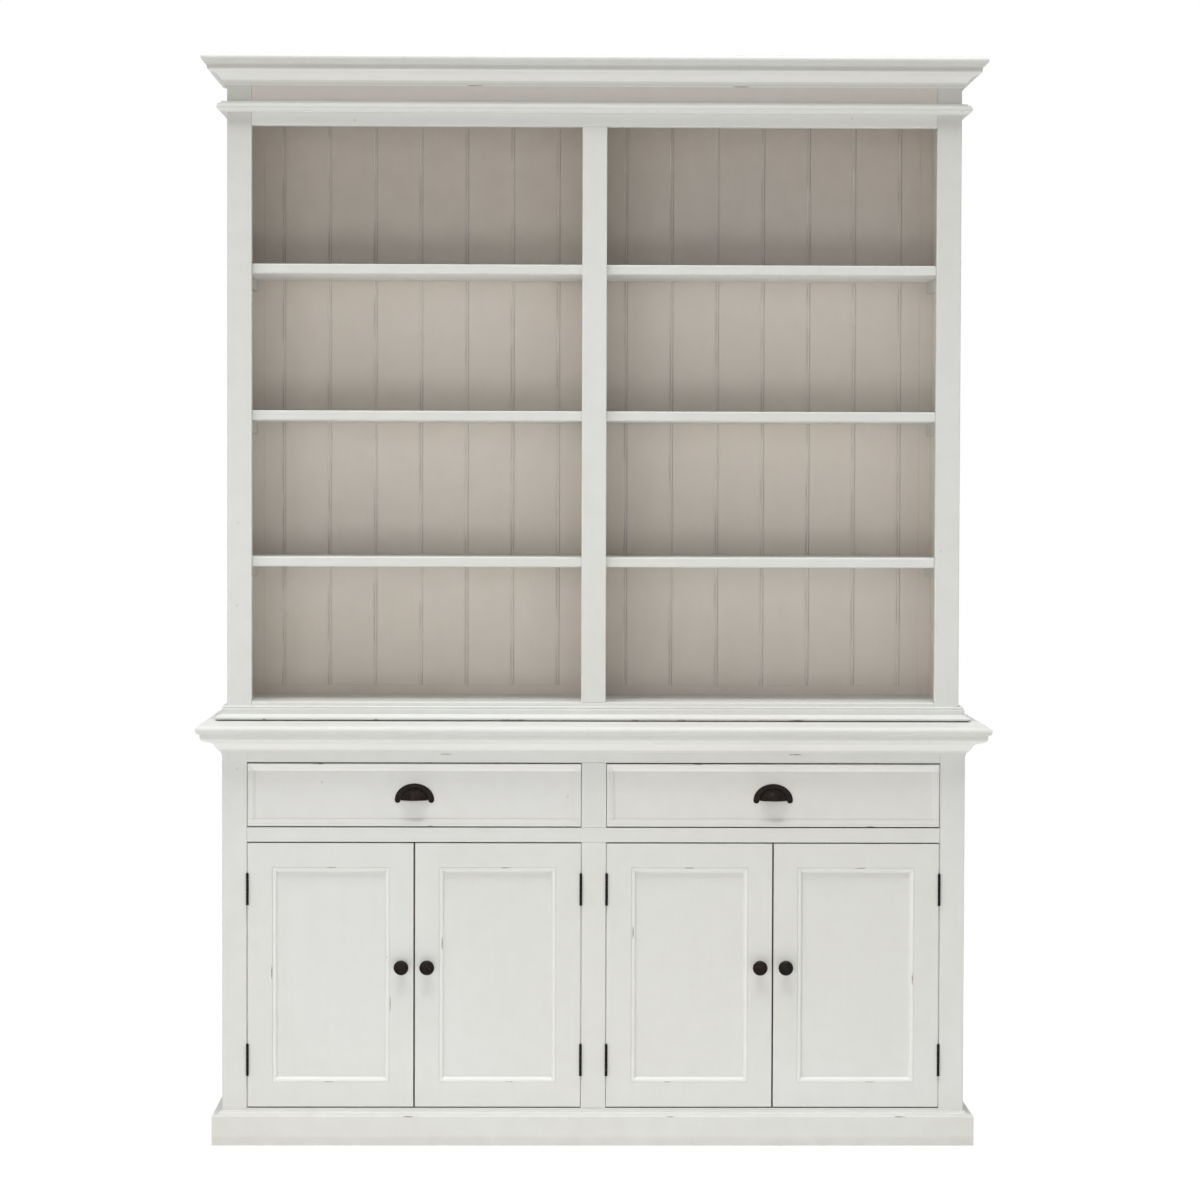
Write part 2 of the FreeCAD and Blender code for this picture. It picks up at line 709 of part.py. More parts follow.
def build_drawer(name, opening_x):
    x = (opening_x[0] + side_gap, opening_x[1] - side_gap)
    z = (drawer_opening_bottom_z + end_gap, drawer_opening_top_z - end_gap)
    slab_front_y = base_front_y + drawer_moulding_depth
    slab_back_y = slab_front_y + drawer_slab_thickness
    slab = block(x, (slab_front_y, slab_back_y), z)
    moulding = mitred_border(drawer_moulding_shares, (drawer_moulding_width, drawer_moulding_depth),
                             x, z, slab_front_y, -along_y)
    box_x = (x[0] + drawer_box_inset, x[1] - drawer_box_inset)
    box_y = (slab_back_y, base_back_front_y - drawer_rear_gap)
    box_bottom_z = drawer_opening_bottom_z + drawer_running_gap
    box_z = (box_bottom_z, box_bottom_z + drawer_box_height)
    inner_x = (box_x[0] + drawer_board_thickness, box_x[1] - drawer_board_thickness)
    inner_y = (box_y[0], box_y[1] - drawer_board_thickness)
    bottom_z = (box_z[0] + drawer_bottom_rise, box_z[0] + drawer_bottom_rise + drawer_bottom_thickness)
    bottom = block((inner_x[0] - drawer_groove_depth, inner_x[1] + drawer_groove_depth),
                   (box_y[0] - drawer_groove_depth, inner_y[1]), bottom_z)
    sides = [block((box_x[0], inner_x[0]), box_y, box_z), block((inner_x[1], box_x[1]), box_y, box_z)]
    back = block(inner_x, (inner_y[1], box_y[1]), (bottom_z[0], box_z[1]))
    keep("drawer_" + name + "_front", slab.cut(bottom).Solids[0])
    keep("drawer_" + name + "_moulding", moulding)
    keep("drawer_" + name + "_box", [side.cut(bottom).Solids[0] for side in sides] + [back, bottom])
    keep("drawer_" + name + "_pull", build_pull((x[0] + x[1]) / 2, slab_front_y))
    return box_x


def build_guides(box_limits):
    """Strips on the dust boards, one along each side of each drawer box."""
    half_partition = base_partition_thickness / 2
    y = (base_frame_back_y, base_back_front_y)
    z = (drawer_opening_bottom_z, drawer_opening_bottom_z + guide_height)
    guides = []
    for wall_x, box_x in zip(both_sides(half_partition, base_inner_x), box_limits):
        guides.append(block((wall_x[0], box_x[0] - drawer_running_gap), y, z))
        guides.append(block((box_x[1] + drawer_running_gap, wall_x[1]), y, z))
    keep("drawer_guides", guides)


build_base_carcass()
build_base_frame()
build_base_mouldings()
build_hutch_carcass()
build_hutch_back()
build_hutch_frame()
build_hutch_mouldings()
for site in hinge_sites():
    build_door(*site)
build_catches()
drawer_openings = both_sides(opening_inner_x, opening_outer_x)
build_guides([build_drawer(name, x) for name, x in zip(("left", "right"), drawer_openings)])

os.makedirs("parts", exist_ok=True)
for name, shape in nodes.items():
    shape.exportStep("parts/" + name + ".step")
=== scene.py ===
import json
import math

import bmesh
import bpy
from mathutils import Matrix, Vector

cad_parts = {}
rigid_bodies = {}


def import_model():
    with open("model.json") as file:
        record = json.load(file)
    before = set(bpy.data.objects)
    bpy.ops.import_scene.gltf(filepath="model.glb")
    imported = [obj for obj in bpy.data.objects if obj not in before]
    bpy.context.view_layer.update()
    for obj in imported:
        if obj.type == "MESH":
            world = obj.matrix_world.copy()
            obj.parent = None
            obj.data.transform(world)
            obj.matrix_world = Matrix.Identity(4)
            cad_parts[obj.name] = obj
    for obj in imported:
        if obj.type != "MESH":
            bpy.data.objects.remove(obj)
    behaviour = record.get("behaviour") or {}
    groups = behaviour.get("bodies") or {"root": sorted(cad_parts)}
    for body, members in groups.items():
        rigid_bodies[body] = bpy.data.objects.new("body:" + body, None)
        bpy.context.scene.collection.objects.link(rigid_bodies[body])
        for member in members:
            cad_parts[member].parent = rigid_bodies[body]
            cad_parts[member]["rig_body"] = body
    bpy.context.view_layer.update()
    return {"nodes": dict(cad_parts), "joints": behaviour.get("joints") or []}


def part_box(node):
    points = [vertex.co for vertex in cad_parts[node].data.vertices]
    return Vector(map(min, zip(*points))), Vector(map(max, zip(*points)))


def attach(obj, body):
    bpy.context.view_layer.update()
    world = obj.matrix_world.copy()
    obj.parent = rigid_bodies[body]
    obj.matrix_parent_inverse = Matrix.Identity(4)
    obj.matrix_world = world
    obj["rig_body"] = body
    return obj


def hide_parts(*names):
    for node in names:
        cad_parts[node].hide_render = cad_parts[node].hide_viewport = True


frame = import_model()

# Sizes in metres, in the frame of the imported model: +Z up, the front faces -Y

drawer_names = ["drawer_left", "drawer_right"]
door_joints = [joint for joint in frame["joints"] if joint["child"] not in drawer_names]
front_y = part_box("base_stile_left")[0].y
hinge_axis_y = door_joints[0]["pos_m"][1]

# Points closer than these are one point, or lie on one plane
merge_reach = 0.00001
same_place = 0.0001

# Edges: how far they are rounded here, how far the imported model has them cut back, how wide a face is still
# taken as an edge for wear, and from how many degrees on an edge is merged, rounded or shaded sharp
arris_round = 0.0004
moulding_round = 0.0005
bead_round = 0.0002
hardware_round = 0.0006
leaf_round = 0.00015
drawn_arris = 0.0010
thin_face = 0.0011
flat_degrees = 0.5
wood_degrees = 28
bead_degrees = 50
wood_sharp_degrees = 32
metal_sharp_degrees = 40

# Doors: the flat parts of stiles and rails, the moulding inside them, how far from its corners the filled
# joints end, and how far the hinge edges and the sides of the drawers reach into the gap
door_flat_top = 0.0495
door_flat_bottom = 0.0510
door_flat_side = 0.0500
sticking_width = 0.0090
seam_end = 0.0020
edge_growth = 0.0010

# Half section of a knob: share of its radius, share of its length from the door
knob_shares = [
    (0.0, 0.0), (0.56, 0.0), (0.58, 0.03), (0.56, 0.07), (0.46, 0.10), (0.38, 0.18), (0.36, 0.27),
    (0.39, 0.35), (0.52, 0.41), (0.74, 0.46), (0.92, 0.53), (0.99, 0.61), (1.0, 0.67), (0.98, 0.74),
    (0.90, 0.82), (0.76, 0.89), (0.58, 0.94), (0.50, 0.945), (0.47, 0.935), (0.44, 0.95),
    (0.28, 0.985), (0.12, 0.998), (0.0, 1.0),
]
knob_steps = 56

# Half section of a screw head: share of its radius, share of its height
screw_shares = [(0.0, -0.3), (1.0, -0.3), (1.0, 0.1), (0.86, 0.62), (0.6, 0.94), (0.42, 1.0), (0.36, 0.9),
                (0.28, 0.1), (0.0, 0.0)]
screw_steps = 20

hinge_length = 0.065
hinge_radius = 0.00275
hinge_sides = 28
hinge_knuckles = 5
frame_knuckles = (0, 2, 4)
door_knuckles = (1, 3)
knuckle_gap = 0.0003
knuckle_round_share = 0.14
arm_recess = 0.0008
leaf_width = 0.018
leaf_thickness = 0.0012
leaf_gap = 0.0005
leaf_recess = 0.0001
leaf_screw_radius = 0.0027
leaf_screw_height = 0.0003
leaf_screw_depth_share = 0.6
leaf_screw_height_shares = (0.16, 0.5, 0.84)

pull_plate = 0.0018
pull_ear = 0.006
pull_hood_half = 0.0275
pull_hood_wall = 0.0018
pull_rim_degrees = 50
pull_screw_radius = 0.0028
pull_screw_height = 0.0009
pull_screw_drop = 0.001
plate_steps = 40
ear_steps = 16
hood_steps = 32
hood_turn_steps = 14


# Materials: sockets that do sums, and the nodes of one finish

class Wire:
    """A node's output. Sums and products with it add Math nodes."""

    def __init__(self, finish, socket):
        self.finish = finish
        self.socket = socket

    def maths(self, operation, *terms):
        return self.finish.node("ShaderNodeMath", {"operation": operation}, dict(enumerate(terms)))

    def __add__(self, other):
        return self.maths("ADD", self, other)

    def __sub__(self, other):
        return self.maths("SUBTRACT", self, other)

    def __mul__(self, other):
        return self.maths("MULTIPLY", self, other)

    __radd__ = __add__

    def size(self):
        return self.maths("ABSOLUTE", self)

    def rise(self, low, high):
        """0 under low, 1 over high, and a smooth rise between them. With low over high it falls."""
        settings = {"interpolation_type": "SMOOTHSTEP"}
        inputs = {"Value": self, "From Min": low, "From Max": high}
        return self.finish.node("ShaderNodeMapRange", settings, inputs)


class Finish:
    """One material: its shader, the place on the piece in metres, and ways to add nodes."""

    def __init__(self, name):
        self.material = bpy.data.materials.new(name)
        self.material.use_nodes = True
        self.tree = self.material.node_tree
        self.shader = self.tree.nodes["Principled BSDF"]
        self.place = self.node("ShaderNodeTexCoord", output="Object")
        self.x, self.y, self.z = [self.node("ShaderNodeSeparateXYZ", inputs={0: self.place}, output=axis)
                                  for axis in "XYZ"]

    def node(self, kind, settings=None, inputs=None, output=0):
        """Any node: its settings first, then its inputs as values or wires, and one output as a wire."""
        node = self.tree.nodes.new(kind)
        for key, value in (settings or {}).items():
            setattr(node, key, value)
        for key, value in (inputs or {}).items():
            self.plug(node.inputs[key], value)
        return Wire(self, node.outputs[output])

    def plug(self, socket, value):
        if isinstance(value, Wire):
            self.tree.links.new(value.socket, socket)
        else:
            socket.default_value = value

    def surface(self, **values):
        """Sets the shader's sockets; an underscore in a name stands for a space."""
        for key, value in values.items():
            self.plug(self.shader.inputs[key.replace("_", " ")], value)

    def blend(self, share, colour, other):
        """From one colour to the other, as share goes from 0 to 1."""
        return self.node("ShaderNodeMix", {"data_type": "RGBA"}, {0: share, 6: colour, 7: other}, output=2)

    def stretched(self, along, length_share):
        """The place drawn out on the axes named, for grain and brush marks that run along them."""
        scale = [length_share if axis in along else 1.0 for axis in "XYZ"]
        return self.node("ShaderNodeMapping", inputs={0: self.place, "Scale": scale})

    def noise(self, scale, detail, place=None, roughness=0.5, offset=0.0):
        """Soft noise from about 0.25 to 0.75; another offset gives another pattern."""
        settings = {"noise_dimensions": "4D"}
        inputs = {"Vector": place or self.place, "W": offset, "Scale": scale, "Detail": detail,
                  "Roughness": roughness}
        return self.node("ShaderNodeTexNoise", settings, inputs)

    def relief(self, height, depth):
        """A bump of that depth in metres."""
        return self.node("ShaderNodeBump", inputs={"Distance": depth, "Height": height})


def rgb(red, green, blue):
    """A colour from its screen values, 0 to 255, as the linear colour that a shader takes."""
    shares = [value / 255 for value in (red, green, blue)]
    linear = [share / 12.92 if share < 0.04045 else ((share + 0.055) / 1.055) ** 2.4 for share in shares]
    return (*linear, 1.0)


# Paint of each part before wear, as screen values, and the tones laid over it, some of them painted light and
# shade.
# The drawer, side and back tones are lighter copies of the white paint as painted light; the back is warmer
# like bounced light
paint_tone = (217, 218, 215)
drawer_tone = (221, 221, 218)
side_tone = (240, 237, 232)
back_tone = (222, 214, 205)
warm_shares = (0.995, 0.990, 0.982)
# Lighter paint laid on as painted light: on coves, the bead, rails, shelf edges, mouldings, gap edges and
# grooves
painted_light_tone = rgb(246, 246, 244)
# Warm darker paint laid on the frieze as painted shade under the crown
frieze_painted_shade_tone = rgb(205, 182, 170)
brush_shade = rgb(150, 140, 128)
# Darker paint laid on as painted shade: under the crown, in moulding creases, towards the stile tops and the
# floor
painted_shade_tone = rgb(150, 143, 134)
# Warm darker paint laid on the top bay's back boards as painted shade
back_painted_shade_tone = rgb(142, 126, 116)
nail_shade = rgb(120, 115, 108)
gap_shadow = rgb(52, 42, 37)
worn_wood = rgb(120, 84, 58)
deep_wood = rgb(74, 50, 36)

pine_light = rgb(214, 183, 141)
pine_dark = rgb(186, 147, 103)
pine_pale = rgb(222, 197, 160)
pine_pore = rgb(120, 86, 56)
bronze_tones = (rgb(16, 13, 12), rgb(66, 44, 34))
steel_tones = (rgb(16, 14, 13), rgb(40, 32, 28))
plastic_tones = (rgb(212, 205, 192), rgb(196, 187, 172))
floor_tones = (rgb(250, 249, 247), rgb(196, 195, 193))

# How strongly each mark shows on the paint, from 0 to 1
brush_share = 0.022
patch_share = 0.03
# The ring, light edge and groove shares set painted light; the dark edge share sets painted gap shadow
ring_share = 0.36
lit_edge_share = 0.9
dark_edge_share = 0.85
nail_share = 0.16
edge_wear_share = 0.5
rub_share = 0.7
groove_light_share = 0.55
groove_stain_share = 0.26

# The level of the noise from which an edge is worn, and two sizes in metres
edge_wear_level = 0.66
nail_radius = 0.0038
paint_relief = 0.00022


def spot(finish, x, z, half_x, half_z):
    """1 in the middle of a small oval seen from the front, falling to 0 at its rim."""
    across = (finish.x - x) * (1 / half_x)
    up = (finish.z - z) * (1 / half_z)
    reach = across * across + up * up
    return reach.rise(1.0, 0.35)


def painted(name, tone, along, rubs=(), nails=(), bands=(), rings=(), dark_edges=(), lit_edges=(),
            groove_y=None):
    """Brushed white paint on wood, rubbed through on thin edges and in the places listed.

    Rubs are ovals seen from the front: X, Z and half sizes. Nails are filled heads: X and Z. Bands are strips
    of painted light or shade: from Z, to Z, softness, share and tone. Rings are frames of painted light: X,
    Z, half sizes and width. Dark edges are painted gap shadow and lit edges painted light, both given by
    their X.
    Grooves start at groove_y and go back from it; their paint is lightened there as painted light.
    """
    finish = Finish(name)
    cloud = finish.noise(2.2, 3.0)
    patch = finish.noise(26.0, 4.0, offset=3.0)
    strokes = finish.noise(230.0, 4.0, finish.stretched(along, 0.022), roughness=0.62)
    peel = finish.noise(620.0, 2.0, offset=5.0)
    warm = rgb(*[value * share for value, share in zip(tone, warm_shares)])
    colour = finish.blend(cloud.rise(0.36, 0.66), rgb(*tone), warm)
    shade = strokes.rise(0.3, 0.75) * brush_share + patch.rise(0.35, 0.7) * patch_share
    colour = finish.blend(shade, colour, brush_shade)
    # Strips of painted light or shade at given heights
    for low_z, high_z, soft, share, other in bands:
        band = finish.z.rise(low_z - soft, low_z + soft) * finish.z.rise(high_z + soft, high_z - soft)
        colour = finish.blend(band * (share + patch * 0.08), colour, other)
    # Frames of painted light on the door mouldings
    for x, z, half_x, half_z, width in rings:
        across, up = (finish.x - x).size() - half_x, (finish.z - z).size() - half_z
        outwards = across.maths("MAXIMUM", across, up)
        ring = outwards.rise(0.0002, -0.0006) * outwards.rise(-width - 0.0006, 0.0002 - width)
        colour = finish.blend(ring * ring_share, colour, painted_light_tone)
    # Painted light on the edges beside the gaps, against their shade
    for x in lit_edges:
        edge = (finish.x - x).size().rise(0.0006, 0.0003)
        colour = finish.blend(edge * lit_edge_share, colour, painted_light_tone)
    # Painted shadow of the gap where two doors meet
    for x in dark_edges:
        edge = (finish.x - x).size().rise(0.0009, 0.0004)
        colour = finish.blend(edge * dark_edge_share, colour, gap_shadow)
    for x, z in nails:
        head = spot(finish, x, z, nail_radius, nail_radius)
        colour = finish.blend(head * nail_share, colour, nail_shade)
    arris = finish.node("ShaderNodeAttribute", {"attribute_name": "arris"}, output="Fac")
    ragged = finish.noise(190.0, 4.0, finish.stretched(along, 0.3), roughness=0.7, offset=9.0)
    rare = finish.noise(7.0, 3.0, offset=12.0)
    worn = ragged.rise(edge_wear_level - 0.02, edge_wear_level + 0.06)
    bare = arris * worn * rare.rise(0.5, 0.62) * edge_wear_share
    for x, z, half_x, half_z in rubs:
        bare = bare + spot(finish, x, z, half_x, half_z) * ragged.rise(0.36, 0.52) * rub_share
    if groove_y is not None:
        depth = finish.y - groove_y
        groove = depth.rise(0.0003, 0.0012) * depth.rise(0.0036, 0.0026)
        # The groove's paint is lightened as painted light against its shade; the stain below is real
        colour = finish.blend(groove * groove_light_share, colour, painted_light_tone)
        stain = finish.noise(9.0, 4.0, offset=21.0).rise(0.42, 0.62)
        bare = bare + groove * (stain * groove_stain_share)
    bare = bare.maths("MINIMUM", bare, 1.0)
    wood = finish.blend(finish.noise(300.0, 2.0, finish.stretched(along, 0.05)), worn_wood, deep_wood)
    colour = finish.blend(bare, colour, wood)
    relief = strokes * 0.5 + peel * 0.35 - bare * 0.6
    finish.surface(Base_Color=colour, Roughness=0.40 + patch * 0.16 + bare * 0.25,
                   Normal=finish.relief(relief, paint_relief), Specular_IOR_Level=0.42)
    return finish.material


def bare_pine(name, along):
    """Sanded unpainted board with drawn-out growth rings."""
    finish = Finish(name)
    bend = finish.noise(6.0, 2.0, finish.stretched(along, 0.12))
    rings = finish.noise(46.0, 5.0, finish.stretched(along, 0.035), roughness=0.6)
    pores = finish.noise(900.0, 2.0, finish.stretched(along, 0.02))
    colour = finish.blend(rings.rise(0.38, 0.62), pine_light, pine_dark)
    colour = finish.blend(bend.rise(0.4, 0.65) * 0.4, colour, pine_pale)
    colour = finish.blend(pores.rise(0.55, 0.7) * 0.25, colour, pine_pore)
    finish.surface(Base_Color=colour, Roughness=0.55 + rings * 0.2,
                   Normal=finish.relief(rings * 0.6 + pores * 0.4, 0.0003))
    return finish.material


def dark_bronze(name, base, rubbed, share):
    """Near-black oil-rubbed bronze with a brown glow where hands touch it."""
    finish = Finish(name)
    mottle = finish.noise(160.0, 4.0)
    grain = finish.noise(2600.0, 2.0, offset=4.0)
    colour = finish.blend(mottle.rise(0.42, 0.68) * share, base, rubbed)
    finish.surface(Base_Color=colour, Metallic=mottle * 0.4, Roughness=0.36 + mottle * 0.22,
                   Specular_IOR_Level=0.14, Normal=finish.relief(grain, 0.00006))
    return finish.material


def moulded_plastic(name):
    """Plain off-white plastic with a fine moulded texture."""
    finish = Finish(name)
    grain = finish.noise(1800.0, 2.0)
    cloud = finish.noise(30.0, 2.0, offset=2.0)
    colour = finish.blend(cloud, *plastic_tones)
    finish.surface(Base_Color=colour, Roughness=0.5 + grain * 0.1, Normal=finish.relief(grain, 0.00005))
    return finish.material


# Shapes

def finished(name, bm, body, material, replaced):
    """Makes an object of the mesh in place, says what it rides on, and hides the parts it stands for."""
    mesh = bpy.data.meshes.new(name)
    bm.to_mesh(mesh)
    bm.free()
    piece = bpy.data.objects.new(name, mesh)
    bpy.context.scene.collection.objects.link(piece)
    mesh.materials.append(material)
    mesh.shade_smooth()
    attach(piece, body)
    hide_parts(*replaced)
    return piece


def even_light(piece, degrees):
    """Smooth shading that keeps wide faces flat and edges past the angle sharp."""
    piece.data.set_sharp_from_angle(angle=math.radians(degrees))
    weighted = piece.modifiers.new("even_light", "WEIGHTED_NORMAL")
    weighted.keep_sharp = True


def bevelled(bm, edges, width, segments=2):
    """Rounds the edges and gives back the new faces."""
    return bmesh.ops.bevel(bm, geom=edges, offset=width, segments=segments, profile=0.5, affect="EDGES",
                           material=-1, clamp_overlap=True)["faces"]


def sharp_edges(bm, degrees):
    """Edges where two faces meet at more than the angle."""
    limit = math.radians(degrees)
    return [edge for edge in bm.edges if len(edge.link_faces) == 2 and edge.calc_face_angle(0) > limit]


def filled(bm, seams, spans):
    """Fills the groove that two eased edges leave in front at each seam, over each span of heights."""
    face_y = min(vert.co.y for vert in bm.verts)
    for low_z, high_z in spans:
        for z in (low_z, high_z):
            bmesh.ops.bisect_plane(bm, geom=bm.verts[:] + bm.edges[:] + bm.faces[:], dist=merge_reach,
                                   plane_co=(0, 0, z), plane_no=(0, 0, 1))
        for vert in bm.verts:
            on_seam = any(abs(vert.co.x - x) < same_place for x in seams)
            in_groove = vert.co.y < face_y + drawn_arris + same_place
            if on_seam and in_groove and low_z - same_place < vert.co.z < high_z + same_place:
                vert.co.y = face_y
    bm.normal_update()


def eased(node, material, width=arris_round, degrees=wood_degrees, seams=(), spans=(), moves=()):
    """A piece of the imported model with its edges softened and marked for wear.

    The seams, given by their X, are filled over the spans of heights, and no edge on them is softened. Each
    move takes the points at one X to another.
    """
    bm = bmesh.new()
    bm.from_mesh(frame["nodes"][node].data)
    bmesh.ops.remove_doubles(bm, verts=bm.verts, dist=merge_reach)
    bmesh.ops.split_edges(bm, edges=[edge for edge in bm.edges if len(edge.link_faces) > 2])
    if seams:
        filled(bm, seams, spans)
    bmesh.ops.dissolve_limit(bm, angle_limit=math.radians(flat_degrees), verts=bm.verts, edges=bm.edges)
    for old_x, new_x in moves:
        for vert in bm.verts:
            if abs(vert.co.x - old_x) < same_place:
                vert.co.x = new_x
    soft = [edge for edge in sharp_edges(bm, degrees)
            if not any(all(abs(vert.co.x - x) < same_place for vert in edge.verts) for x in seams)]
    arris = bm.faces.layers.float.new("arris")
    for face in bevelled(bm, soft, width):
        face[arris] = 1.0
    for face in bm.faces:
        if face.calc_perimeter() > 0 and 2 * face.calc_area() / face.calc_perimeter() < thin_face:
            face[arris] = 1.0
    body = frame["nodes"][node]["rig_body"]
    piece = finished(node + "_finished", bm, body, material, [node])
    even_light(piece, wood_sharp_degrees)


def spun(points, axis, steps, angle=math.tau):
    """A line of points carried round an axis through the origin."""
    bm = bmesh.new()
    verts = [bm.verts.new(point) for point in points]
    for start, end in zip(verts, verts[1:]):
        bm.edges.new((start, end))
    bmesh.ops.spin(bm, geom=bm.verts[:] + bm.edges[:], cent=(0, 0, 0), axis=axis, angle=angle, steps=steps,
                   use_merge=angle == math.tau)
    bmesh.ops.remove_doubles(bm, verts=bm.verts, dist=merge_reach / 10)
    return bm


def joined(bm, other):
    """Adds the other mesh to the first, and frees the other."""
    mesh = bpy.data.meshes.new("joined")
    other.to_mesh(mesh)
    other.free()
    bm.from_mesh(mesh)
    bpy.data.meshes.remove(mesh)


def half_oval(middle_x, half_x, half_z, start, steps):
    """Points of half an oval in X and Z, from the angle start to half a turn on, both ends included."""
    angles = [start + math.pi * number / steps for number in range(steps + 1)]
    return [(middle_x + half_x * math.cos(angle), half_z * math.sin(angle)) for angle in angles]


# Hardware

def knob(door, material):
    """A turned knob: spun round its own axis, which points at the viewer."""
    low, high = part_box(door + "_knob")
    radius = (high.x - low.x) / 2
    length = high.y - low.y
    bm = spun([(share * radius, -along * length, 0) for share, along in knob_shares], (0, 1, 0), knob_steps)
    bmesh.ops.translate(bm, verts=bm.verts, vec=((low.x + high.x) / 2, high.y, (low.z + high.z) / 2))
    bmesh.ops.recalc_face_normals(bm, faces=bm.faces)
    finished(door + "_knob_turned", bm, door, material, [door + "_knob"])


def screw(bm, centre, towards, radius, height):
    """A low domed screw head with a round recess, facing the way given."""
    section = [(share * radius, 0, level * height) for share, level in screw_shares]
    head = spun(section, (0, 0, 1), screw_steps)
    turn = Vector((0, 0, 1)).rotation_difference(Vector(towards)).to_matrix().to_4x4()
    bmesh.ops.transform(head, matrix=Matrix.Translation(centre) @ turn, verts=head.verts)
    joined(bm, head)


def cup_pull(drawer, material):
    """A cast cup pull: a half-oval plate with two ears, and a domed hood that is open below."""
    low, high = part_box(drawer + "_pull")
    middle_x = (low.x + high.x) / 2
    edge_z = low.z + pull_ear
    half = (high.x - low.x) / 2
    reach = high.y - low.y - pull_plate / 2
    outline = (half_oval(0, half, high.z - edge_z, 0, plate_steps)
               + half_oval(-half + pull_ear, pull_ear, pull_ear, math.pi, ear_steps)[1:]
               + half_oval(half - pull_ear, pull_ear, pull_ear, math.pi, ear_steps)[:-1])
    bm = bmesh.new()
    plate = bm.faces.new([bm.verts.new((x, 0, z)) for x, z in outline])
    grown = bmesh.ops.extrude_face_region(bm, geom=[plate])["geom"]
    bmesh.ops.translate(bm, verts=[vert for vert in grown if isinstance(vert, bmesh.types.BMVert)],
                        vec=(0, -pull_plate, 0))
    bmesh.ops.recalc_face_normals(bm, faces=bm.faces)
    rim = [edge for edge in sharp_edges(bm, pull_rim_degrees)
           if all(vert.co.y < -pull_plate / 2 for vert in edge.verts)]
    bevelled(bm, rim, hardware_round, 3)
    hood_line = [(x, 0, z) for x, z in half_oval(0, pull_hood_half, reach, 0, hood_steps)]
    hood = spun(hood_line, (1, 0, 0), hood_turn_steps, math.pi / 2)
    bmesh.ops.recalc_face_normals(hood, faces=hood.faces)
    bmesh.ops.solidify(hood, geom=hood.faces[:], thickness=pull_hood_wall)
    bmesh.ops.translate(hood, verts=hood.verts, vec=(0, -pull_plate / 2, 0))
    joined(bm, hood)
    for side in (-1, 1):
        centre = (side * (half - pull_ear), -pull_plate, -pull_screw_drop)
        screw(bm, centre, (0, -1, 0), pull_screw_radius, pull_screw_height)
    bmesh.ops.translate(bm, verts=bm.verts, vec=(middle_x, high.y, edge_z))
    bmesh.ops.recalc_face_normals(bm, faces=bm.faces)
    piece = finished(drawer + "_pull_cast", bm, drawer, material, [drawer + "_pull"])
    even_light(piece, metal_sharp_degrees)


def knuckle(bm, x, low_z, high_z):
    """An upright round bar on the hinge axis with softened ends."""
    made = bmesh.ops.create_cone(bm, cap_ends=True, segments=hinge_sides, radius1=hinge_radius,
                                 radius2=hinge_radius, depth=high_z - low_z)["verts"]
    bmesh.ops.translate(bm, verts=made, vec=(x, hinge_axis_y, (low_z + high_z) / 2))
    ends = [edge for edge in bm.edges if edge.verts[0] in made and edge.calc_face_angle(0) > 1]
    bevelled(bm, ends, hinge_radius * knuckle_round_share, 2)


def bar(bm, low, high):
    """A small box between two corners with softened edges."""
    made = bmesh.ops.create_cube(bm, size=1.0)["verts"]
    for vert in made:
        for axis in range(3):
            vert.co[axis] = low[axis] if vert.co[axis] < 0 else high[axis]
    bevelled(bm, list({edge for vert in made for edge in vert.link_edges}), leaf_round, 1)


def hinge_leaves(name, body, pin_x, side, middles, own_knuckles, replaced, material):
    """The leaves on one side of the pin with their share of the knuckles, for both hinges of a door."""
    bm = bmesh.new()
    pitch = hinge_length / hinge_knuckles
    inner_x = pin_x + side * leaf_gap
    low_x, high_x = sorted((inner_x, pin_x + side * (leaf_gap + leaf_thickness)))
    for middle_z in middles:
        bottom_z = middle_z - hinge_length / 2
        bar(bm, (low_x, front_y + leaf_recess, bottom_z),
            (high_x, front_y + leaf_width, bottom_z + hinge_length))
        for number in own_knuckles:
            low_z = bottom_z + number * pitch + knuckle_gap / 2
            high_z = low_z + pitch - knuckle_gap
            knuckle(bm, pin_x, low_z, high_z)
            bar(bm, (low_x, hinge_axis_y, low_z), (high_x, front_y + arm_recess, high_z))
        for share in leaf_screw_height_shares:
            centre = (inner_x, front_y + leaf_width * leaf_screw_depth_share, bottom_z + share * hinge_length)
            screw(bm, centre, (-side, 0, 0), leaf_screw_radius, leaf_screw_height)
    bmesh.ops.recalc_face_normals(bm, faces=bm.faces)
    piece = finished(name, bm, body, material, replaced)
    even_light(piece, metal_sharp_degrees)


# Wear seen in the photograph: middle X and Z and half sizes, in metres, on the front

drawer_rubs = {
    "drawer_left": [(-0.556, 0.7703, 0.016, 0.0010), (-0.334, 0.6450, 0.012, 0.0010)],
    "drawer_right": [(0.210, 0.7703, 0.012, 0.0010), (0.560, 0.6450, 0.014, 0.0010)],
}
door_rubs = {
    "door_1": [(-0.529, 0.5606, 0.011, 0.0011), (-0.535, 0.1262, 0.011, 0.0010),
               (-0.650, 0.350, 0.0014, 0.018), (-0.411, 0.284, 0.0014, 0.018)],
    "door_2": [(-0.178, 0.5606, 0.012, 0.0011), (-0.170, 0.1262, 0.009, 0.0010),
               (-0.306, 0.408, 0.0014, 0.016)],
    "door_3": [(0.194, 0.5606, 0.013, 0.0011), (0.150, 0.1262, 0.009, 0.0010),
               (0.080, 0.430, 0.0014, 0.016)],
    "door_4": [(0.540, 0.5606, 0.013, 0.0011), (0.560, 0.1262, 0.011, 0.0010),
               (0.317, 0.322, 0.0014, 0.020), (0.646, 0.337, 0.0014, 0.016)],
}
counter_moulding_rubs = [(-0.300, 0.7905, 0.014, 0.0018), (0.405, 0.7905, 0.018, 0.0018)]
crown_rubs = [(-0.245, 2.1468, 0.020, 0.0010), (0.298, 2.1468, 0.022, 0.0010)]
